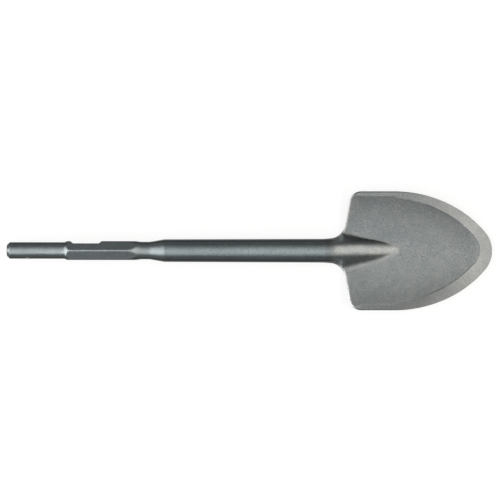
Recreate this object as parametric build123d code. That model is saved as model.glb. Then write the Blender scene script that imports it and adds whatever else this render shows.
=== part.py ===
from build123d import *
import os
from math import asin, cos, degrees, pi, radians, sin, sqrt, tan

# A spade chisel for a breaker hammer: one forged steel bar, with no joints.
# The tool lies along X, from the struck end at the origin to the tip of the blade.
# Z is up and the hollow side of the blade faces up, so +Y is the side with the latch notch.
# Sizes are in millimetres.

# Round nose, which the hammer strikes
nose_diameter = 15.0
nose_length = 51.0
nose_chamfer = 2.5

# Hexagon shank, with two of its edges straight up and down
collar_length = 4.5
hex_across_flats = 17.0
hex_length = 52.0
hex_edge_break = 0.25
runout_length = 11.6

# Latch notch, milled across one flat
notch_gap = 1.6
notch_floor_length = 24.0
notch_depth = 2.0
notch_end_angle = 40.0

# Round neck and the flare that joins it to the shaft
neck_diameter = 15.84
neck_length = 10.2
flare_length = 13.3
flare_root_radius = 8.0
flare_edge_radius = 2.0

# Shaft, drawn slightly thicker towards the blade
shaft_length = 147.9
shaft_start_diameter = 20.4
shaft_end_diameter = 21.5

# Outline of the blade, seen from above
blade_length = 149.5
blade_width = 107.9
swell_radius = 100.0
swell_turn = 8.6
root_radius = 15.1
shoulder_slant = 10.0
corner_radius = 10.7
side_radius = 114.0
tip_radius = 25.5

# Section of the blade: a dished plate that gets thinner towards the tip
face_radius = 155.0
belly_radius = 120.0
root_thickness = 8.0
tip_thickness = 5.6
belly_lift = 2.6
belly_drop = 0.15

# Rib, which carries the round of the shaft on into the hollow face
rib_start = 6.1
rib_length = 58.0
rib_end_radius = 7.5
rib_valley_radius = 5.0
rib_foot_depth = 0.35

# Ground edge on the hollow side
bevel_side_width = 3.3
bevel_tip_width = 10.8
side_land = 2.9
tip_land = 1.5
bevel_runout = 8.0
bevel_steps = 21

# Forging radius along both edges of the rim
rim_radius = 0.9

# How far back and how deep the root of the blade starts inside the shaft
root_overlap = 11.7
root_depth = 0.4

# Room that the plate and the cutting shapes have beyond the blade
margin = 4.0
bevel_reach = 0.6
bevel_height = 30.0

# Stations along the tool
nose_radius = nose_diameter / 2
neck_radius = neck_diameter / 2
hex_corner_radius = hex_across_flats / 2 / cos(radians(30)) - hex_edge_break
shaft_start_radius = shaft_start_diameter / 2
shaft_end_radius = shaft_end_diameter / 2
x_collar = nose_length
x_hex = x_collar + collar_length
x_runout = x_hex + hex_length
x_neck = x_runout + runout_length
x_flare = x_neck + neck_length
x_shaft = x_flare + flare_length
x_blade = x_shaft + shaft_length
x_rib = x_blade + rib_start
x_rib_end = x_rib + rib_length
x_tip = x_blade + blade_length
half_width = blade_width / 2


def belly_bottom(x):
    """Height of the middle of the belly: a straight line that rises towards the tip."""
    share = (x - x_rib) / (x_tip - x_rib)
    return -shaft_end_radius - belly_drop + belly_lift * share


def face_bottom(x):
    """Height of the middle of the hollow face: the belly plus a thickness that tapers."""
    share = (x - x_rib) / (x_tip - x_rib)
    return belly_bottom(x) + root_thickness + (tip_thickness - root_thickness) * share


def dish(y, radius):
    """Rise of an arc of that radius at a distance y from its lowest point."""
    return radius - sqrt(radius**2 - y**2)


# The shaft swells slightly before it turns out into the root of the blade
inside = shaft_end_radius - root_depth
x_swell = x_blade - root_overlap
swell_angle = radians(swell_turn)
shoulder_turn = radians(90 - shoulder_slant)
x_root = x_swell + swell_radius * sin(swell_angle)
x_shoulder = x_root + root_radius * (sin(shoulder_turn) - sin(swell_angle))

# Where the straight shoulder ends and the corner starts, and where the corner ends
swell_rise = swell_radius * (1 - cos(swell_angle))
root_rise = root_radius * (cos(swell_angle) - cos(shoulder_turn))
corner_rise = corner_radius * (1 - cos(shoulder_turn))
shoulder_rise = half_width - inside - swell_rise - root_rise - corner_rise
x_corner = x_shoulder + shoulder_rise / tan(shoulder_turn)
x_side = x_corner + corner_radius * sin(shoulder_turn)

# The edge lies below the axis, so the centre of the tip is set for the edge to end at x_tip
x_tip_centre = x_tip - sqrt(tip_radius**2 - (belly_bottom(x_tip) + tip_land)**2)
arc_reach = side_radius - tip_radius
side_arc_turn = asin(sqrt(arc_reach**2 - (side_radius - half_width)**2) / arc_reach)
x_side_arc = x_tip_centre - arc_reach * sin(side_arc_turn)


def turned_bar():
    """Nose, collar, shank, neck, flare and shaft, as one profile turned about X."""
    nose = Polyline(
        (0, 0),
        (0, nose_radius - nose_chamfer),
        (nose_chamfer, nose_radius),
        (x_collar, nose_radius),
    )
    collar = TangentArc((x_collar, nose_radius), (x_hex, hex_corner_radius), tangent=(1, 0))
    bar = Line((x_hex, hex_corner_radius), (x_runout, hex_corner_radius))
    runout = TangentArc((x_runout, hex_corner_radius), (x_neck, neck_radius), tangent=(1, 0))
    shaft = FilletPolyline(
        (x_neck, neck_radius),
        (x_flare, neck_radius),
        (x_shaft, shaft_start_radius),
        (x_rib, shaft_end_radius),
        radius=(flare_root_radius, flare_edge_radius),
    )
    end = Polyline((x_rib, shaft_end_radius), (x_rib, 0), (0, 0))
    return revolve(make_face(nose + collar + bar + runout + shaft + end), Axis.X)


def hex_flats():
    """What the six flats take off the turned bar between the nose and the neck."""
    section = Circle(hex_across_flats) - RegularPolygon(
        hex_across_flats / 2, 6, major_radius=False, rotation=30
    )
    return extrude(Plane.YZ.offset(x_collar) * section, x_neck - x_collar)


def latch_notch():
    """Flat-bottomed notch across the +Y flat, with slanted ends."""
    floor = hex_across_flats / 2 - notch_depth
    top = hex_across_flats
    spread = (top - floor) / tan(radians(notch_end_angle))
    ramp = notch_depth / tan(radians(notch_end_angle))
    start = x_hex + notch_gap + ramp
    end = start + notch_floor_length
    side = make_face(
        Polyline((start, floor), (end, floor), (end + spread, top), (start - spread, top), (start, floor))
    )
    return extrude(side, hex_across_flats, both=True)


def plate_section(x):
    """Section of the dished plate: hollow face above, belly below, wider than the blade."""
    reach = half_width + margin
    edge = face_bottom(x) + dish(reach, face_radius)
    under = belly_bottom(x) + dish(reach, belly_radius)
    face = ThreePointArc((-reach, edge), (0, face_bottom(x)), (reach, edge))
    belly = ThreePointArc((reach, under), (0, belly_bottom(x)), (-reach, under))
    wire = face + Line(face @ 1, belly @ 0) + belly + Line(belly @ 1, face @ 0)
    return Plane(origin=(x, 0, 0), x_dir=(0, 1, 0), z_dir=(1, 0, 0)) * make_face(wire)


def blade_outline():
    """Outline of the blade, turned about X so that its rim has the draft of a forging.

    It runs from inside the shaft through the root, shoulder, corner and side to the tip.
    """
    swell = JernArc((x_swell, inside), (1, 0), swell_radius, swell_turn)
    root = JernArc(swell @ 1, swell % 1, root_radius, degrees(shoulder_turn) - swell_turn)
    shoulder = Line(root @ 1, (x_corner, half_width - corner_rise))
    corner = JernArc(shoulder @ 1, shoulder % 1, corner_radius, -degrees(shoulder_turn))
    side = Line(corner @ 1, (x_side_arc, half_width))
    side_arc = JernArc(side @ 1, (1, 0), side_radius, -degrees(side_arc_turn))
    tip_arc = JernArc(side_arc @ 1, side_arc % 1, tip_radius, degrees(side_arc_turn) - 90)
    inner = Polyline(tip_arc @ 1, (x_swell, 0), (x_swell, inside))
    rim = swell + root + shoulder + corner + side + side_arc + tip_arc
    return revolve(make_face(rim + inner), Axis.X)


def blank():
    """Plate trimmed to the outline, with both edges of its rim rounded."""
    plate = loft([plate_section(x_blade - margin), plate_section(x_tip + margin)], ruled=True)
    trimmed = plate & blade_outline()
    face_and_belly = trimmed.faces().sort_by(SortBy.AREA)[-2:]
    rim = [edge for edge in face_and_belly.edges() if edge.center().X > x_blade]
    return fillet(rim, rim_radius)


def rib_section(x, crest, radius):
    """Section of the rib: a round crest with a hollow foot on each side that dives under the face."""
    face_centre = face_bottom(x) + face_radius
    crest_centre = crest - radius
    span = face_centre - crest_centre
    to_crest = radius + rib_valley_radius
    to_face = face_radius + rib_foot_depth - rib_valley_radius
    rise = (to_crest**2 - to_face**2 + span**2) / (2 * span)
    valley = Vector(sqrt(to_crest**2 - rise**2), crest_centre + rise)
    middle = Vector(0, crest_centre)
    joint = middle + (valley - middle) * (radius / to_crest)
    outward = (valley - Vector(0, face_centre)).normalized()
    foot = valley + outward * rib_valley_radius
    sag = ((joint - valley).normalized() + (foot - valley).normalized()).normalized()
    hollow = ThreePointArc(foot, valley + sag * rib_valley_radius, joint)
    crest_arc = ThreePointArc(joint, (0, crest), (-joint.X, joint.Y))
    floor = face_bottom(x) - root_thickness / 3
    base = Polyline((-foot.X, foot.Y), (-foot.X, floor), (foot.X, floor), (foot.X, foot.Y))
    wire = hollow + crest_arc + mirror(hollow, Plane.YZ) + base
    return Plane(origin=(x, 0, 0), x_dir=(0, 1, 0), z_dir=(1, 0, 0)) * make_face(wire)


def rib():
    """Rib lofted from just under the skin of the shaft down to where it sinks into the face."""
    hidden = shaft_end_radius - 2 * root_depth
    top = shaft_end_radius + belly_drop
    end_crest = face_bottom(x_rib_end) - rib_foot_depth / 2
    sections = [
        rib_section(x_blade + root_depth, hidden, hidden),
        rib_section(x_rib, top, top),
        rib_section((x_rib + x_rib_end) / 2, (top + end_crest) / 2, (top + rib_end_radius) / 2),
        rib_section(x_rib_end, end_crest, rib_end_radius),
    ]
    return loft(sections, ruled=True) & blade_outline()


def edge_station(place):
    """Point of the outline, and the direction that points out of the blade there.

    The place runs from 0 to 1 along the straight side, to 2 along the side arc and to 3 at
    the middle of the tip.
    """
    if place <= 1:
        return Vector(x_side + place * (x_side_arc - x_side), half_width), Vector(0, 1)
    if place <= 2:
        turn = (place - 1) * side_arc_turn
        outward = Vector(sin(turn), cos(turn))
        return Vector(x_side_arc, half_width - side_radius) + outward * side_radius, outward
    turn = side_arc_turn + (place - 2) * (pi / 2 - side_arc_turn)
    outward = Vector(sin(turn), cos(turn))
    return Vector(x_tip_centre, 0) + outward * tip_radius, outward


def bevel_rule(place):
    """Straight line that the ground edge follows across the rim, a little beyond both its ends."""
    point, outward = edge_station(place)
    width = bevel_side_width + (bevel_tip_width - bevel_side_width) * sqrt(outward.X)
    land = side_land + (tip_land - side_land) * outward.X
    inner = point - outward * width
    fade = max(0.0, 1 - (point.X - x_side) / bevel_runout) ** 2 * side_land
    low = Vector(point.X, point.Y, belly_bottom(point.X) + dish(point.Y, belly_radius) + land + fade)
    high = Vector(inner.X, inner.Y, face_bottom(inner.X) + dish(inner.Y, face_radius) + fade)
    across = (high - low) * bevel_reach
    return low - across, high + across


def bevel_cut():
    """Everything above the ruled surface of the ground edge, all round the blade."""
    places = [3 * step / bevel_steps for step in range(bevel_steps + 1)]
    rules = [bevel_rule(place) for place in places]
    outer = [low for low, high in rules]
    inner = [high for low, high in rules]
    outer += [Vector(p.X, -p.Y, p.Z) for p in reversed(outer[:-1])]
    inner += [Vector(p.X, -p.Y, p.Z) for p in reversed(inner[:-1])]
    surface = Face.make_surface_from_curves(Edge.make_spline(outer), Edge.make_spline(inner))
    return extrude(surface, bevel_height, dir=(0, 0, 1))


bar = turned_bar() - hex_flats() - latch_notch()
blade = blank() + rib()
spade_chisel = bar + (blade - bevel_cut())

os.makedirs("parts", exist_ok=True)
export_step(spade_chisel, "parts/spade_chisel.step")
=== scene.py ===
import math

import bpy
import numpy as np
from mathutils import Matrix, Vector


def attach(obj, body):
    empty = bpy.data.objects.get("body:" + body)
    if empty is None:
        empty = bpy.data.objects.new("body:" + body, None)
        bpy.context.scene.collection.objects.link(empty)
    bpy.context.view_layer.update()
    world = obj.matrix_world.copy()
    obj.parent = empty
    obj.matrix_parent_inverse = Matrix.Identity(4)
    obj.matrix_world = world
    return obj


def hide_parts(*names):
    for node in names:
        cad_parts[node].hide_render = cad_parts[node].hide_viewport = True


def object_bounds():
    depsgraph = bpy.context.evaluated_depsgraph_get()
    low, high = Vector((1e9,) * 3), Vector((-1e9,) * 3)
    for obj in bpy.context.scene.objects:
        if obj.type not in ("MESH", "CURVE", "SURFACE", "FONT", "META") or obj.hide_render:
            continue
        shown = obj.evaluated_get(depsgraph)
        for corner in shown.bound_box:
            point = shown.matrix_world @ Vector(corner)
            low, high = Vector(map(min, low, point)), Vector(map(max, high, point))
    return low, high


# Looks of a spade chisel, forged in one piece: hexagon shank, round shaft, dished blade.
# The sizes below are in millimetres and the finished mesh is in metres, in the frame of the
# solid: X runs from the struck end to the tip, and Z is up out of the hollow of the blade.

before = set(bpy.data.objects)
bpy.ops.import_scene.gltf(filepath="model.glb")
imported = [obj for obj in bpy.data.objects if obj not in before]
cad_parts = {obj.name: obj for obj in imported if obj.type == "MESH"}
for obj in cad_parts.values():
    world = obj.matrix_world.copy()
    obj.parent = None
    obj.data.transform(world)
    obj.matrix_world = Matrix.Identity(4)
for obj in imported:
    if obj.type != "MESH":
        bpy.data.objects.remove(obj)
cad_low, cad_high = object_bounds()
MM = 0.001

# Nose, collar, hexagon, run-out, neck, flare and shaft, which ends where the rib starts
NOSE_RADIUS = 7.5
NOSE_CHAMFER = 2.5
X_COLLAR = 52.3
X_HEX = 55.9
HEX_FLAT = 8.5
HEX_BREAK = 0.25
HEX_CORNER = HEX_FLAT / math.cos(math.pi / 6) - HEX_BREAK
X_RUNOUT = 107.5
X_NECK = 119.1
NECK_RADIUS = 7.92
NECK_BLEND = 4.0
X_FLARE = 129.3
X_SHAFT = 142.6
X_RIB = 296.6
SHAFT_START_RADIUS = 10.2
SHAFT_END_RADIUS = 10.75
FLARE_SLOPE = (SHAFT_START_RADIUS - NECK_RADIUS) / (X_SHAFT - X_FLARE)
SHAFT_SLOPE = (SHAFT_END_RADIUS - SHAFT_START_RADIUS) / (X_RIB - X_SHAFT)

# Latch notch in the flat that faces +Y
NOTCH_START = 57.1
NOTCH_DEPTH = 2.0
NOTCH_SLOPE = math.tan(math.radians(40))
NOTCH_RAMP = NOTCH_DEPTH / NOTCH_SLOPE
NOTCH_FLOOR = 24.0
NOTCH_END = NOTCH_START + NOTCH_RAMP + NOTCH_FLOOR

# Outline of the blade seen from above: it leaves the shaft, swells and turns out to the tip
X_SWELL = 283.9
SWELL_RADIUS = 65.8
SWELL_TURN = math.radians(8.6)
ROOT_RADIUS = 15.1
SHOULDER_TURN = math.radians(80)
CORNER_RADIUS = 10.7
SIDE_RADIUS = 114.0
TIP_RADIUS = 25.5
HALF_WIDTH = 53.93
X_TIP = 440.0

# Section of the blade
FACE_RADIUS = 155.0
BELLY_RADIUS = 120.0
BELLY_START = -10.9
BELLY_LIFT = 2.6
ROOT_THICKNESS = 8.0
TIP_THICKNESS = 5.6

# Rib: the round of the shaft runs down into the face, with flanks that touch it and straight
# feet. Its crest lies a little toward +Y, as in the photo.
X_RIB_END = 354.6
RIB_END_SINK = 0.1
FOOT_START = 18.0
FOOT_SLOPE = 0.24
FLANK_START = 287.0
FLANK_LENGTH = 18.0
STEEP = math.tan(math.radians(80))
FOOT_ROUND = {1: 2.8, -1: 4.6}
END_ROUND = 0.55
RIB_SHIFT = 0.95
RIB_BLEND = 5.0

# Ground edge and rim. The edge is wider on the -Y half, as in the photo.
BEVEL_SIDE_WIDTH = 2.9
BEVEL_TIP_WIDTH = 10.8
BEVEL_EXTRA = {1: 0.0, -1: 0.8}
BEVEL_BULGE = {1: 0.2, -1: 1.4}
SIDE_LAND = 2.9
TIP_LAND = 1.5
BEVEL_RUNOUT = 8.0
RIM_RADIUS = 0.9
SIDE_EDGE_RADIUS = 1.1
GROUND_RADIUS = 0.3

# Columns of the mesh on one side, from the spine on top round to the spine of the belly
RIB_COLUMNS = 30
FACE_COLUMNS = 18
BEVEL_SHARES = np.array([0, 0.08, 0.35, 0.65, 0.92])
RIM_COLUMNS = 10
BELLY_COLUMNS = 15

# Where the rows of the blade fan out from, and how far apart they are along the edge
X_FAN = 416.0
ROW_SPACING = 0.65


def ramp(distance, reach):
    """Zero before a corner and the distance after it, joined by a parabola within its reach."""
    rounded = (distance + reach) ** 2 / (4 * reach)
    return np.where(np.abs(distance) < reach, rounded, np.maximum(distance, 0))


def arc_step(distance, length, rise):
    """Arc that leaves a line without a kink and has gained the rise at that length."""
    radius = (length**2 + rise**2) / (2 * rise)
    return radius - np.sqrt(radius**2 - np.clip(distance, 0, length) ** 2)


def soft_min(a, b, width):
    """The lower of two values, rounded where they are closer than the width."""
    share = np.clip(0.5 + 0.5 * (b - a) / width, 0, 1)
    return b + (a - b) * share - width * share * (1 - share)


def smooth(share):
    """Rise from 0 to 1 with flat ends."""
    t = np.clip(share, 0, 1)
    return t * t * (3 - 2 * t)


def blend(a, b, share):
    """Value between a and b."""
    return a + (b - a) * share


def dish(y, radius):
    """Rise of an arc of that radius at a distance y from its lowest point."""
    return radius - np.sqrt(np.maximum(radius**2 - y**2, 0))


def turned_radius(x):
    """Radius of the turned profile, from the chamfer to the shaft, as a sum of ramps and an arc."""
    nose = NOSE_RADIUS - NOSE_CHAMFER + x - ramp(x - NOSE_CHAMFER, 0.2)
    collar_slope = (HEX_CORNER - NOSE_RADIUS) / (X_HEX - X_COLLAR)
    collar = collar_slope * (ramp(x - X_COLLAR, 0.5) - ramp(x - X_HEX, 0.3))
    runout = arc_step(x - X_RUNOUT, X_NECK - X_RUNOUT, HEX_CORNER - NECK_RADIUS)
    flare = FLARE_SLOPE * ramp(x - X_FLARE, 0.7)
    shaft = (FLARE_SLOPE - SHAFT_SLOPE) * ramp(x - X_SHAFT, 0.4)
    neck_slope = 2 * (HEX_CORNER - NECK_RADIUS) / (X_NECK - X_RUNOUT)
    neck = neck_slope * (ramp(x - X_NECK, NECK_BLEND) - np.maximum(x - X_NECK, 0))
    return nose + collar - runout + neck + flare - shaft


def bar_radius(x, angle):
    """Distance of the bar's skin from its axis: the turned profile, cut by six flats and a notch.

    The angle is measured about X from +Z towards +Y. A flat at a height h cuts the skin at
    h divided by the cosine of the angle from the flat's own direction.
    """
    radius = turned_radius(x)
    notch = NOTCH_SLOPE * (
        ramp(x - NOTCH_START, 0.1)
        - ramp(x - NOTCH_START - NOTCH_RAMP, 0.1)
        - ramp(x - NOTCH_END, 0.1)
        + ramp(x - NOTCH_END - NOTCH_RAMP, 0.1)
    )
    for number in range(6):
        facing = np.cos(angle - math.radians(30 + 60 * number))
        height = HEX_FLAT - notch if number == 1 else HEX_FLAT
        flat = np.where(facing > 0.3, height / np.maximum(facing, 0.3), 3 * HEX_FLAT)
        radius = np.where(x < X_FLARE, soft_min(radius, flat, 0.05), radius)
    return radius


def belly_height(x, y):
    """Underside of the plate: a straight spine that rises to the tip, dished across."""
    return BELLY_START + BELLY_LIFT * (x - X_RIB) / (X_TIP - X_RIB) + dish(y, BELLY_RADIUS)


def face_height(x, y):
    """Hollow face of the plate: the belly's spine plus the tapering thickness, dished across."""
    share = (x - X_RIB) / (X_TIP - X_RIB)
    return belly_height(x, 0) + blend(ROOT_THICKNESS, TIP_THICKNESS, share) + dish(y, FACE_RADIUS)


def rib_shift(x):
    """How far the crest lies toward +Y."""
    return RIB_SHIFT * smooth((x - X_SWELL) / (X_RIB_END - X_SWELL) * 2)


def rib_lines(x, half):
    """Crest height and radius of the rib, and the slope of its flank on one half, +1 or -1.

    The section is a round of the shaft's radius. The flank is the line from the foot that
    touches the round: seen from the centre, the point of touch stands above the foot by the
    arc cosine of the radius over the distance to the foot.
    """
    share = ramp(x - X_RIB, RIB_BLEND) / (X_RIB_END - X_RIB)
    radius = turned_radius(np.minimum(x, X_RIB))
    crest = blend(radius, face_height(X_RIB_END, 0) - RIB_END_SINK, share)
    foot = FOOT_START - FOOT_SLOPE * (np.maximum(x, X_RIB) - X_RIB) - half * rib_shift(x)
    foot = np.maximum(foot, 1.0)
    rise = face_height(x, foot) - crest + radius
    touch = np.arctan2(rise, foot) + np.arccos(np.minimum(radius / np.hypot(foot, rise), 1))
    slope = np.tan(math.pi / 2 - np.clip(touch, 0.2, 1.5))
    return crest, radius, blend(STEEP, slope, smooth((x - FLANK_START) / FLANK_LENGTH))


def rib_height(x, y, half):
    """Rib above the face: the round out to where it is as steep as the flank, then the flank."""
    crest, radius, slope = rib_lines(x, half)
    y = np.abs(y - half * rib_shift(x))
    bend = radius * slope / np.sqrt(1 + slope**2)
    return crest - dish(np.minimum(y, bend), radius) - slope * np.maximum(y - bend, 0)


def foot_line(x, half):
    """Distance from the middle at which the rib meets the face."""
    crest, radius, slope = rib_lines(x, half)
    bend = radius * slope / np.sqrt(1 + slope**2)
    drop = np.maximum(crest - face_height(x, bend), 0)
    on_flank = bend + (drop - dish(bend, radius)) / slope
    on_round = np.sqrt(np.maximum(drop * (2 * radius - drop), 0))
    return np.where(drop > dish(bend, radius), on_flank, on_round) + half * rib_shift(x)


def top_height(x, y, half):
    """Upper skin of the blade: the rib where it stands out of the face, with a hollow foot."""
    share = np.clip((x - X_RIB) / (X_RIB_END - X_RIB), 0, 1)
    hollow = blend(FOOT_ROUND[half], END_ROUND, share)
    return -soft_min(-face_height(x, y), -rib_height(x, y, half), hollow)


def bottom_height(x, y, edge_radius):
    """Lower skin: the belly of the plate, held inside the round of the outline turned about X."""
    turned = -np.sqrt(np.maximum(edge_radius**2 - y**2, 0))
    return -soft_min(-belly_height(x, y), -turned, 0.3)


def outline_stretches():
    """Length and turn of each stretch of the outline, from the shaft to the tip."""
    start = float(turned_radius(np.array(X_SWELL)))
    swell_rise = SWELL_RADIUS * (1 - math.cos(SWELL_TURN))
    root_rise = ROOT_RADIUS * (math.cos(SWELL_TURN) - math.cos(SHOULDER_TURN))
    corner_rise = CORNER_RADIUS * (1 - math.cos(SHOULDER_TURN))
    shoulder = (HALF_WIDTH - start - swell_rise - root_rise - corner_rise) / math.sin(SHOULDER_TURN)
    root_run = SWELL_RADIUS * math.sin(SWELL_TURN)
    root_run += ROOT_RADIUS * (math.sin(SHOULDER_TURN) - math.sin(SWELL_TURN))
    corner_end = X_SWELL + root_run + shoulder * math.cos(SHOULDER_TURN)
    corner_end += CORNER_RADIUS * math.sin(SHOULDER_TURN)
    reach = SIDE_RADIUS - TIP_RADIUS
    side_turn = math.acos((SIDE_RADIUS - HALF_WIDTH) / reach)
    edge = float(belly_height(X_TIP, 0)) + TIP_LAND
    tip_centre = X_TIP - math.sqrt(TIP_RADIUS**2 - edge**2)
    side = tip_centre - reach * math.sin(side_turn) - corner_end
    return np.array([
        (SWELL_RADIUS * SWELL_TURN, SWELL_TURN),
        (ROOT_RADIUS * (SHOULDER_TURN - SWELL_TURN), SHOULDER_TURN - SWELL_TURN),
        (shoulder, 0),
        (CORNER_RADIUS * SHOULDER_TURN, -SHOULDER_TURN),
        (side, 0),
        (SIDE_RADIUS * side_turn, -side_turn),
        (TIP_RADIUS * (math.pi / 2 - side_turn), side_turn - math.pi / 2),
    ])


def outline(length, stretches):
    """Points and headings of the outline at lengths along it.

    The chord of each arc is its length times sinc of half its turn, along the heading at
    the middle of the arc.
    """
    x = np.full(length.shape, X_SWELL)
    y = np.full(length.shape, float(turned_radius(np.array(X_SWELL))))
    heading = np.zeros(length.shape)
    start = 0.0
    for stretch, turn in stretches:
        part = np.clip(length - start, 0, stretch)
        turned = turn * part / stretch
        chord = part * np.sinc(turned / 2 / math.pi)
        x = x + chord * np.cos(heading + turned / 2)
        y = y + chord * np.sin(heading + turned / 2)
        heading = heading + turned
        start += stretch
    return x, y, heading


def blade_rows(half):
    """One half of the blade, +1 or -1, as rows of points across it, and their places on the edge.

    A row starts at the spine, runs out to the edge over the face, round the rim and back to
    the spine under the belly. Its spine point moves on steadily while its edge point goes
    along the outline, so the rows fan out from square across the shaft to lengthways at the tip.
    """
    stretches = outline_stretches()
    marks = np.concatenate([[0], np.cumsum(stretches[:, 0])])
    total = marks[-1]
    length = np.linspace(0, total, int(round(total / ROW_SPACING)) + 1)
    edge_x, edge_y, heading = outline(length, stretches)
    edge_y[-1] = 0
    out_x = -np.sin(heading)
    out_y = np.cos(heading)
    out_x[-1] = 1
    out_y[-1] = 0
    turned = np.where(length > marks[6], TIP_RADIUS, edge_y / np.maximum(out_y, 0.01))
    x_root = float(outline(marks[1:2], stretches)[0][0])
    along = (length - marks[1]) / (total - marks[1])
    spine = np.where(length < marks[1], edge_x, blend(x_root, X_FAN, along))

    # 0 where the section is still the round shaft, 1 where it is a plate with a rim
    plate = smooth((length - 0.6 * marks[1]) / (0.8 * (marks[2] - marks[1])))
    ground = smooth((length - marks[4] + BEVEL_RUNOUT) / BEVEL_RUNOUT)
    to_tip = np.clip(out_x, 0, 1)

    def lean(z):
        """How far the turned rim stands back from the outline at a height z, as a negative value."""
        return np.sqrt(np.maximum(turned**2 - z**2, 1)) - turned

    def inset(distance):
        """Points that lie inside the outline by a distance."""
        return edge_x - out_x * distance, edge_y - out_y * distance

    # Upper edge of the rim, ridge of the ground edge, and lower edge of the rim
    round_depth = 0.015 * edge_y
    ground_z = belly_height(edge_x, edge_y) + blend(SIDE_LAND, TIP_LAND, to_tip)
    rim_z = top_height(*inset(blend(round_depth, RIM_RADIUS, plate)), half)
    rim_z = blend(rim_z, ground_z, ground)
    edge_round = blend(SIDE_EDGE_RADIUS, GROUND_RADIUS, np.minimum(to_tip / 0.3, 1))
    top_round = blend(RIM_RADIUS, edge_round, ground)
    high_inset = blend(round_depth, top_round - lean(rim_z), plate)
    high_x, high_y = inset(high_inset)
    high_z = blend(top_height(high_x, high_y, half), ground_z, ground)
    extra = BEVEL_EXTRA[half] * (1 - to_tip) + 4 * BEVEL_BULGE[half] * to_tip * (1 - to_tip)
    ground_width = blend(BEVEL_SIDE_WIDTH, BEVEL_TIP_WIDTH, np.sqrt(to_tip)) + extra
    strip = blend(0.02 * edge_y, blend(1.2, ground_width, ground), plate)
    ridge_x, ridge_y = inset(high_inset + strip)
    ridge_z = top_height(ridge_x, ridge_y, half)
    belly_z = belly_height(edge_x, edge_y)
    low_inset = blend(round_depth, RIM_RADIUS - lean(belly_z), plate)
    low_x, low_y = inset(low_inset)

    def outer_radius(x, y):
        """Radius of the turned outline at a station, where it is small enough to trim the belly."""
        radius = np.interp(x, edge_x, edge_y)
        rows = length[:, None] if np.ndim(x) == 2 else length
        return np.where(rows < marks[3], np.maximum(radius, y), 80)

    low_z = bottom_height(low_x, low_y, outer_radius(low_x, low_y))

    # Rib: closer together on the crest and in the foot, with one column along the foot
    reach = np.hypot(ridge_x - spine, ridge_y)
    foot_y = foot_line(spine, half)
    for _ in range(6):
        foot_y = foot_line(spine + (ridge_x - spine) * foot_y / np.maximum(ridge_y, 1), half)
        foot_y = np.minimum(foot_y, 0.93 * np.maximum(ridge_y, 1))
    foot_share = np.where(spine > X_RIB_END, 4 / reach, foot_y / np.maximum(ridge_y, 1))
    foot_share = np.clip(np.minimum(foot_share, 0.93), 3.6 / reach, 0.93)
    rib_share = np.sin(np.arange(RIB_COLUMNS) / RIB_COLUMNS * math.asin(0.97)) / 0.97
    rib_share = blend(np.arange(RIB_COLUMNS) / RIB_COLUMNS, rib_share, 0.6)
    face_share = np.linspace(0, 1, FACE_COLUMNS)
    shares = np.concatenate([
        foot_share[:, None] * rib_share,
        blend(foot_share[:, None], 1 - 0.15 / reach[:, None], face_share),
    ], axis=1)
    top_x = blend(spine[:, None], ridge_x[:, None], shares)
    top_y = ridge_y[:, None] * shares
    top_z = top_height(top_x, top_y, half)
    top_over = -reach[:, None] * (1 - shares)

    # Ground edge: straight from the ridge to the rim
    bevel_x = blend(ridge_x[:, None], high_x[:, None], BEVEL_SHARES)
    bevel_y = blend(ridge_y[:, None], high_y[:, None], BEVEL_SHARES)
    rule = blend(ridge_z[:, None], high_z[:, None], BEVEL_SHARES)
    bevel_z = blend(top_height(bevel_x, bevel_y, half), rule, ground[:, None])
    bevel_over = strip[:, None] * BEVEL_SHARES

    # Rim: rounding, wall and rounding, on the outline turned about X
    step = np.arange(RIM_COLUMNS)
    quarter = np.minimum(step / 4, 1) * math.pi / 2
    back = np.clip((step - 6) / 4, 0, 1) * math.pi / 2
    upper = high_z[:, None] - top_round[:, None] * (1 - np.cos(quarter))
    lower = low_z[:, None] + RIM_RADIUS * (1 - np.sin(back))
    wall = blend(upper, lower, np.clip((step - 4) / 2, 0, 1))
    rim_z = blend(blend(high_z[:, None], low_z[:, None], step / RIM_COLUMNS), wall, plate[:, None])
    back_top = (lean(high_z) + high_inset)[:, None] * (1 - np.sin(quarter))
    back_low = (lean(low_z) + low_inset)[:, None] * (1 - np.cos(back))
    leaning = np.sqrt(np.maximum(turned[:, None] ** 2 - rim_z**2, 1)) - turned[:, None]
    outward = leaning - back_top - back_low
    rim_x = edge_x[:, None] + out_x[:, None] * outward
    rim_y = edge_y[:, None] + out_y[:, None] * outward
    rim_over = blend(strip[:, None], -6, np.clip((step - 6) / 2, 0, 1))

    # Belly: back to the spine
    step = np.arange(BELLY_COLUMNS + 1) / BELLY_COLUMNS
    low_share = np.sin((1 - step) * math.asin(0.985)) / 0.985
    low_share = blend(low_share, 1 - step, plate[:, None])
    under_x = blend(spine[:, None], low_x[:, None], low_share)
    under_y = low_y[:, None] * low_share
    under_z = bottom_height(under_x, under_y, outer_radius(under_x, under_y))
    under_over = np.full(under_x.shape, -30.0)

    x = np.concatenate([top_x, bevel_x, rim_x, under_x], axis=1)
    y = np.concatenate([top_y, bevel_y, rim_y, under_y], axis=1)
    z = np.concatenate([top_z, bevel_z, rim_z, under_z], axis=1)
    over = np.concatenate([top_over, bevel_over, rim_over, under_over], axis=1)
    y[:, 0] = 0
    y[:, -1] = 0
    y[-1] = 0
    along = length[:, None] + 0 * x
    return np.stack([x, half * y, z, half * along, over, ground[:, None] + 0 * x], axis=2)


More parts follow.
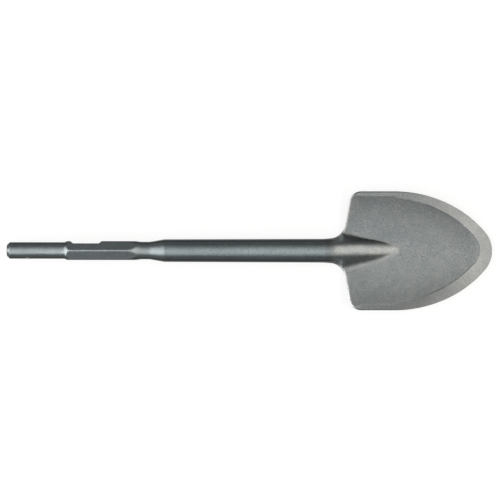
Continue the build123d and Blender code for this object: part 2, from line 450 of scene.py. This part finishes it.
def bar_stations():
    """Stations of the bar's rows, closer together where the profile turns."""
    stretches = [
        (0.05, NOSE_CHAMFER - 0.3, 4),
        (NOSE_CHAMFER - 0.2, NOSE_CHAMFER + 0.2, 5),
        (NOSE_CHAMFER + 0.6, X_COLLAR - 0.5, 12),
        (X_COLLAR + 0.1, X_HEX + 0.3, 14),
        (X_HEX + 0.6, NOTCH_START - 0.1, 4),
        (NOTCH_START, NOTCH_START + NOTCH_RAMP, 8),
        (NOTCH_START + NOTCH_RAMP + 0.1, NOTCH_END - 0.1, 10),
        (NOTCH_END, NOTCH_END + NOTCH_RAMP, 8),
        (NOTCH_END + NOTCH_RAMP + 0.1, X_RUNOUT - 0.3, 10),
        (X_RUNOUT, X_NECK + 4.0, 38),
        (X_NECK + 4.6, X_FLARE - 0.7, 5),
        (X_FLARE - 0.6, X_FLARE + 0.7, 8),
        (X_FLARE + 1.2, X_SHAFT - 0.5, 8),
        (X_SHAFT - 0.4, X_SHAFT + 0.4, 7),
        (X_SHAFT + 1.0, X_SWELL - 1.0, 60),
    ]
    return np.concatenate([np.linspace(start, end, count) for start, end, count in stretches])


def shank_angles(count):
    """Angles round half the shank, closer together at the hexagon's edges and the notch's rims."""
    fine = np.linspace(0, math.pi, 2000)
    density = np.full(fine.shape, 1.0)
    for edge in (0, 47, 60, 120, 133, 180):
        density = density + 3.0 * np.exp(-(((np.degrees(fine) - edge) / 2.6) ** 2))
    total = np.concatenate([[0], np.cumsum(density[1:] + density[:-1])])
    return np.interp(np.linspace(0, total[-1], count), total, fine)


def bar_rows(last_angles):
    """Rings of the bar, from the struck end to where the outline leaves the shaft."""
    x = bar_stations()[:, None]
    shank = shank_angles(last_angles.size)
    angle = blend(shank, last_angles, smooth((x - X_SHAFT) / (X_SWELL - X_SHAFT)))
    angle = np.concatenate([angle, -angle[:, -2:0:-1]], axis=1)
    radius = bar_radius(x, angle)
    none = 0 * angle
    y = radius * np.sin(angle)
    z = radius * np.cos(angle)
    return np.stack([x + none, y, z, none, none - 40, none], axis=2)


def tool_mesh():
    """One closed skin: bar and blade, a fan over the struck face, and a seam at the tip.

    The grid's rows are loops about X, first over the +Y half and then back over the other.
    """
    blade = blade_rows(1)
    angles = np.arctan2(blade[0, :, 1], blade[0, :, 2])
    blade = np.concatenate([blade, blade_rows(-1)[:, -2:0:-1]], axis=1)
    grid = np.concatenate([bar_rows(angles), blade])
    rows, columns = grid.shape[:2]
    half = columns // 2
    index = np.arange(rows * columns).reshape(rows, columns)
    index[-1, half + 1:] = index[-1, half - 1:0:-1]
    right = np.roll(index, -1, axis=1)
    quads = np.stack([index[:-1], index[1:], right[1:], right[:-1]], axis=2).reshape(-1, 4)
    centre = rows * columns - half + 1
    cap = np.stack([np.full(columns, centre), index[0], right[0]], axis=1)
    grid = np.concatenate([grid.reshape(-1, 6)[:centre], [[0, 0, 0, 0, -40, 0]]])
    mesh = bpy.data.meshes.new("spade_chisel_skin")
    mesh.from_pydata((grid[:, :3] * MM).tolist(), [], quads.tolist() + cap.tolist())
    edge = mesh.attributes.new("edge_place", "FLOAT_VECTOR", "POINT")
    edge.data.foreach_set("vector", (grid[:, 3:] * (MM, MM, 1)).astype(np.float32).ravel())
    mesh.validate()
    mesh.update()
    return mesh


# Finishes, as sRGB colours. A steel's colour is what it reflects, so all are close to grey.
MACHINED = "#98A1A3"
SATIN = "#8A9497"
BLASTED = "#82898B"
BLASTED_WARM = "#858A8A"
GROUND = "#878C8D"
# Not a finish: a painted highlight on the rounded rear edge of the blade, where the edge catches the
# light
PAINTED_REAR_GLINT = "#AEAFAD"
SATIN_ROUGH = 0.4
BLASTED_ROUGH = 0.42
GROUND_ROUGH = 0.5

# Patterns, in cells to the metre. Blasting leaves pits of about 0.2 mm, which are too fine to
# show here, so the specks are drawn 0.8 mm wide. The ground lines run along the edge: they are
# 0.4 mm apart and 2.2 mm long, where real grit of a belt leaves them closer than 0.1 mm.
SPECKS = 1300.0
PATCHES = 160.0
CLOUDS = 38.0
GROUND_LINES = (450.0, 2400.0, 1.0)
SPECK_STRENGTH = 0.37
LINE_STRENGTH = 0.32
PIT_DEPTH = 0.12 * MM
PIT_STRENGTH = 0.35

# Painted glint where a nick in the nose catches the light: its place, and how much longer it is than
# wide
NICK = (0.0185, -0.0066, 0.0036)
NICK_SQUEEZE = (0.4, 1.0, 0.5)
NICK_GLINT_BRIGHT = 6.0

# Camera straight above, so far away that the tool shows next to no perspective
MIDDLE_X = 0.22
CAMERA_LENS = 200
CAMERA_SENSOR = 36
VIEW_WIDTH = 0.45287
CAMERA_X = 0.22004
CAMERA_Y = 0.0006
CAMERA_TURN = math.radians(0.055)

# Lamps: a box overhead, and three long boxes out to each end of the tool. Each of those has its
# side, its angle from upright and half its opening in degrees, its length in metres, its
# strength, its place across the tool, and its tint. Strengths are fitted to the photo's glints:
# the low lamp on the struck side has to be strong for the chamfer to read bright.
PLAIN = (1.0, 1.0, 1.0)
WARM = (1.10, 1.0, 0.92)
LAMP_DISTANCE = 2.0
OVERHEAD = ((MIDDLE_X, -0.17, LAMP_DISTANCE), 0.42, 1.9, 1.8, PLAIN)
END_BOXES = [
    (-1, 30, 6, 3.3, 4.5, -0.22, PLAIN),
    (-1, 51, 5, 1.4, 3.0, -0.22, PLAIN),
    (-1, 84, 6, 2.2, 20.0, -0.22, PLAIN),
    (1, 30, 6, 3.3, 5.4, 0.0, WARM),
    (1, 51, 5, 1.4, 3.0, 0.0, WARM),
    (1, 84, 6, 2.2, 4.5, 0.0, WARM),
]
WORLD = (0.133, 0.14, 0.1428, 1.0)

# Floor: white paper, shown plain white where the camera or a gloss sees it, less its shadow
FLOOR_REACH = 4.0
FLOOR_WHITE = 0.85
PAPER = (0.96, 0.96, 0.96, 1.0)


def linear(colour):
    """sRGB hex colour as linear red, green, blue and alpha."""
    shares = [int(colour[i:i + 2], 16) / 255 for i in (1, 3, 5)]
    return [s / 12.92 if s <= 0.04045 else ((s + 0.055) / 1.055) ** 2.4 for s in shares] + [1.0]


def add(tree, kind, inputs=(), **settings):
    """Add a node with its settings, set or link its inputs by place or name, and give its outputs."""
    made = tree.nodes.new("ShaderNode" + kind)
    for name, value in settings.items():
        setattr(made, name, value)
    pairs = inputs.items() if isinstance(inputs, dict) else enumerate(inputs)
    for key, value in pairs:
        if isinstance(value, bpy.types.NodeSocket):
            tree.links.new(value, made.inputs[key])
        else:
            made.inputs[key].default_value = value
    return made.outputs


def empty_material(name):
    """Material with no nodes, and its tree."""
    material = bpy.data.materials.new(name)
    material.use_nodes = True
    material.node_tree.nodes.clear()
    return material, material.node_tree


def forged_steel():
    """Tool steel, forged in one piece and hardened.

    The shank and shaft are turned and milled, which gives a satin sheen. The blade is
    shot-blasted, which gives a dull face with fine specks. The edge is ground, which gives
    fine lines along it. Places along the tool and widths are in metres.
    """
    material, tree = empty_material("forged_steel")
    place = add(tree, "TexCoord")["Object"]
    along, across, _ = add(tree, "SeparateXYZ", [place])
    edge = add(tree, "Attribute", attribute_name="edge_place")["Vector"]
    _, over, honed = add(tree, "SeparateXYZ", [edge])
    stretched = add(tree, "VectorMath", [edge, GROUND_LINES], operation="MULTIPLY")[0]
    noise = {
        "fine": (place, SPECKS, 2.0),
        "patch": (place, PATCHES, 3.0),
        "cloud": (place, CLOUDS, 2.0),
        "lines": (stretched, 1.0, 2.0),
    }
    for name, (source, scale, detail) in noise.items():
        inputs = {"Vector": source, "Scale": scale, "Detail": detail, "Roughness": 0.5}
        noise[name] = add(tree, "TexNoise", inputs)[0]
    patch = noise["patch"]

    # Borders of the finishes, made ragged by the patches, and the distance from the painted glint of
    # the nick
    ragged = add(tree, "Math", [patch, 0.008, along], operation="MULTIPLY_ADD")[0]
    wobble = add(tree, "Math", [patch, 0.0012, over], operation="MULTIPLY_ADD")[0]
    spot = add(tree, "VectorMath", [place, NICK], operation="SUBTRACT")[0]
    spot = add(tree, "VectorMath", [spot, NICK_SQUEEZE], operation="MULTIPLY")[0]
    spot = add(tree, "VectorMath", [spot], operation="LENGTH")["Value"]

    # Each row carries a value from one range to another, with flat ends
    soft = {
        "shaft": (along, 0.1424, 0.1429, 0.0, 1.0),
        "blade": (ragged, 0.2900, 0.2945, 0.0, 1.0),
        "plate": (along, 0.290, 0.312, 0.0, 1.0),
        "past_ridge": (wobble, 0.0004, 0.0007, 0.0, 1.0),
        "honed": (honed, 0.3, 0.6, 0.0, 1.0),
        "warm": (patch, 0.35, 0.65, 0.0, 1.0),
        "speckled": (along, 0.120, 0.128, 0.6, 1.0),
        "rim": (over, -0.024, -0.001, 0.0, 0.22),
        "rim_half": (across, -0.02, 0.01, 0.55, 1.0),
        "rim_rear": (along, 0.340, 0.395, 0.4, 1.0),
        "rim_tip": (along, 0.417, 0.428, 1.0, 0.1),
        "ridge": (over, -0.0011, -0.0003, 0.0, 1.0),
        "ridge_dark": (along, 0.362, 0.392, -0.35, 0.6),
        "ridge_tip": (along, 0.423, 0.428, 1.0, 0.0),
        "ridge_half": (across, -0.01, 0.01, 1.0, 0.5),
        "ridge_broken": (patch, 0.35, 0.55, 0.4, 1.0),
        "dull": (across, -0.038, -0.008, 0.74, 1.0),
        "dull_left": (across, 0.0, 0.05, 1.0, 0.92),
        "dull_rear": (along, 0.385, 0.425, 0.96, 1.08),
        "over_edge": (over, 0.0, 0.0007, 0.0, 1.0),
        "rear_edge": (along, 0.309, 0.319, 1.0, 0.0),
        # The struck end and its chamfer are drawn 1.5 times brighter: wear from the hammer's blows
        # and a painted highlight.
        "chamfer": (along, 0.0018, 0.0026, 1.5, 1.0),
        # The nick's spot is drawn six times brighter: a painted glint.
        "nick_glint": (spot, 0.0004, 0.0009, NICK_GLINT_BRIGHT, 1.0),
    }
    for name, row in soft.items():
        soft[name] = add(tree, "MapRange", row, interpolation_type="SMOOTHSTEP")[0]
    straight = {
        "speck": (noise["fine"], 0.25, 0.75, 1.0 - SPECK_STRENGTH, 1.0 + SPECK_STRENGTH),
        "lines": (noise["lines"], 0.25, 0.75, 1.0 - LINE_STRENGTH, 1.0 + LINE_STRENGTH),
        "tone": (patch, 0.3, 0.7, 0.95, 1.05),
        "cloud": (noise["cloud"], 0.3, 0.7, 0.94, 1.06),
        "painted_halves": (across, -0.045, 0.045, 1.14, 0.80),
    }
    for name, row in straight.items():
        straight[name] = add(tree, "MapRange", row)[0]
    blade = soft["blade"]
    ground = add(tree, "Math", [soft["past_ridge"], soft["honed"]], operation="MULTIPLY")[0]
    plain = add(tree, "Math", [1.0, ground], operation="SUBTRACT")[0]

    # Colours: the painted highlight on the rounded rear edge of the blade comes last
    painted_rear_glint = soft["over_edge"]
    for share in (plain, soft["rear_edge"]):
        painted_rear_glint = add(tree, "Math", [painted_rear_glint, share], operation="MULTIPLY")[0]
    blasted = {0: soft["warm"], 6: linear(BLASTED), 7: linear(BLASTED_WARM)}
    blasted = add(tree, "Mix", blasted, data_type="RGBA")[2]
    layers = [
        (soft["shaft"], linear(SATIN)),
        (blade, blasted),
        (ground, linear(GROUND)),
        (painted_rear_glint, linear(PAINTED_REAR_GLINT)),
    ]
    colour = linear(MACHINED)
    for share, upper in layers:
        colour = add(tree, "Mix", {0: share, 6: colour, 7: upper}, data_type="RGBA")[2]

    # Specks, fainter on the shank, and lines on the ground edge
    speck = add(tree, "Mix", {0: soft["speckled"], 2: 1.0, 3: straight["speck"]})[0]
    faint = add(tree, "Mix", {0: 0.3, 2: 1.0, 3: speck})[0]
    lines = add(tree, "Math", [straight["lines"], faint], operation="MULTIPLY")[0]
    speck = add(tree, "Mix", {0: ground, 2: speck, 3: lines})[0]

    # The face is darkened toward the ridge, a painted shade. On the ridge is a thin line: a painted
    # highlight at the rear and a painted shade toward the tip.
    rim = soft["rim"]
    for name in ("rim_half", "rim_rear", "rim_tip"):
        rim = add(tree, "Math", [rim, soft[name]], operation="MULTIPLY")[0]
    line = soft["ridge"]
    for name in ("ridge_dark", "ridge_tip", "ridge_half", "ridge_broken"):
        line = add(tree, "Math", [line, soft[name]], operation="MULTIPLY")[0]
    rim = add(tree, "Math", [rim, line], operation="ADD")[0]
    for share in (honed, plain):
        rim = add(tree, "Math", [rim, share], operation="MULTIPLY")[0]
    rim = add(tree, "Math", [1.0, rim], operation="SUBTRACT")[0]

    # Painted light and shade: the half toward +Y is drawn darker on the face and lighter on the
    # ground edge, as light falling more from one side would make it. The dull masks paint that light
    # and shade.
    dull = soft["dull"]
    for name in ("dull_left", "dull_rear"):
        dull = add(tree, "Math", [dull, soft[name]], operation="MULTIPLY")[0]
    half = add(tree, "Mix", {0: blade, 2: 1.0, 3: straight["painted_halves"]})[0]
    half = add(tree, "Mix", {0: ground, 2: half, 3: dull})[0]

    # The colour darkens at a slant, sooner on the shank than on the blade: a painted shade on the
    # tool's sides. The rates are set to keep the white floor's reflection out of those sides.
    facing = add(tree, "LayerWeight", [0.5])["Facing"]
    painted_slant_shade = [facing]
    for on_shank, on_plate in ((0.06, 0.30), (0.40, 0.80), (1.0, 1.0), (0.08, 0.40)):
        painted_slant_shade.append(add(tree, "Mix", {0: soft["plate"], 2: on_shank, 3: on_plate})[0])
    painted_slant_shade = add(tree, "MapRange", painted_slant_shade)[0]

    factor = speck
    shades = (straight["tone"], straight["cloud"], rim, painted_slant_shade, half, soft["chamfer"], soft["nick_glint"])
    for share in shades:
        factor = add(tree, "Math", [factor, share], operation="MULTIPLY")[0]
    colour = add(tree, "VectorMath", [colour, factor], operation="MULTIPLY")[0]

    rough = add(tree, "Mix", {0: blade, 2: SATIN_ROUGH, 3: BLASTED_ROUGH})[0]
    rough = add(tree, "Mix", {0: ground, 2: rough, 3: GROUND_ROUGH})[0]
    pits = {"Strength": PIT_STRENGTH, "Distance": PIT_DEPTH, "Height": noise["fine"]}
    shader = add(tree, "BsdfPrincipled", {
        "Base Color": colour,
        "Metallic": 1.0,
        "Roughness": rough,
        "Normal": add(tree, "Bump", pits)[0],
    })
    add(tree, "OutputMaterial", [shader[0]])
    return material


def white_paper():
    """Matt white paper of the studio floor, which takes a soft shadow and no gloss."""
    material, tree = empty_material("paper")
    ray = add(tree, "LightPath")
    seen = ray["Is Camera Ray"]
    for kind in ("Is Glossy Ray", "Is Transmission Ray"):
        seen = add(tree, "Math", [seen, ray[kind]], operation="MAXIMUM")[0]
    seen = add(tree, "Math", [seen, FLOOR_WHITE], operation="MULTIPLY")[0]
    paper = add(tree, "BsdfDiffuse", [PAPER])[0]
    white = add(tree, "Emission", [(1, 1, 1, 1), 1.0])[0]
    shown = add(tree, "MixShader", [seen, paper, white])[0]
    add(tree, "OutputMaterial", [shown])
    return material


def place_in_scene(name, data):
    """New object in the scene, at the origin."""
    made = bpy.data.objects.new(name, data)
    bpy.context.scene.collection.objects.link(made)
    return made


def area(name, place, size_x, size_y, strength, tint):
    """Area lamp that points at the middle of the tool, as bright to look at whatever its size."""
    lamp = bpy.data.lights.new(name, "AREA")
    lamp.shape = "RECTANGLE"
    lamp.size = size_x
    lamp.size_y = size_y
    lamp.color = tint
    lamp.energy = strength * size_x * size_y * math.pi
    holder = place_in_scene(name, lamp)
    holder.location = place
    toward = Vector((MIDDLE_X, 0, 0)) - Vector(place)
    holder.rotation_mode = "QUATERNION"
    holder.rotation_quaternion = toward.to_track_quat("-Z", "Y")
    holder.visible_camera = False


skin = place_in_scene("spade_chisel_skin", tool_mesh())
skin.data.polygons.foreach_set("use_smooth", np.ones(len(skin.data.polygons), dtype=bool))
skin.data.set_sharp_from_angle(angle=math.radians(38))
skin.data.materials.append(forged_steel())
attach(skin, "root")
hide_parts("spade_chisel")

camera = place_in_scene("camera", bpy.data.cameras.new("camera"))
camera.data.lens = CAMERA_LENS
camera.data.sensor_width = CAMERA_SENSOR
camera.location = (CAMERA_X, CAMERA_Y, VIEW_WIDTH * CAMERA_LENS / CAMERA_SENSOR)
camera.rotation_euler = (0, 0, CAMERA_TURN)
bpy.context.scene.camera = camera

lamps = [OVERHEAD]
for side, degrees, opening, length, strength, across, tint in END_BOXES:
    angle = math.radians(degrees)
    x = MIDDLE_X + side * LAMP_DISTANCE * math.sin(angle)
    place = (x, across, LAMP_DISTANCE * math.cos(angle))
    height = 2 * LAMP_DISTANCE * math.tan(math.radians(opening))
    lamps.append((place, length, height, strength, tint))
for number, lamp in enumerate(lamps):
    area("lamp_%d" % number, *lamp)

world = bpy.data.worlds.new("world")
bpy.context.scene.world = world
world.use_nodes = True
background = world.node_tree.nodes["Background"]
background.inputs[0].default_value = WORLD
background.inputs[1].default_value = 1.0

sheet = bpy.data.meshes.new("floor")
corners = ((-1, -1), (1, -1), (1, 1), (-1, 1))
corners = [(MIDDLE_X + x * FLOOR_REACH, y * FLOOR_REACH, cad_low.z) for x, y in corners]
sheet.from_pydata(corners, [], [(0, 1, 2, 3)])
sheet.materials.append(white_paper())
floor = place_in_scene("floor", sheet)
bpy.context.scene.view_settings.view_transform = "Standard"
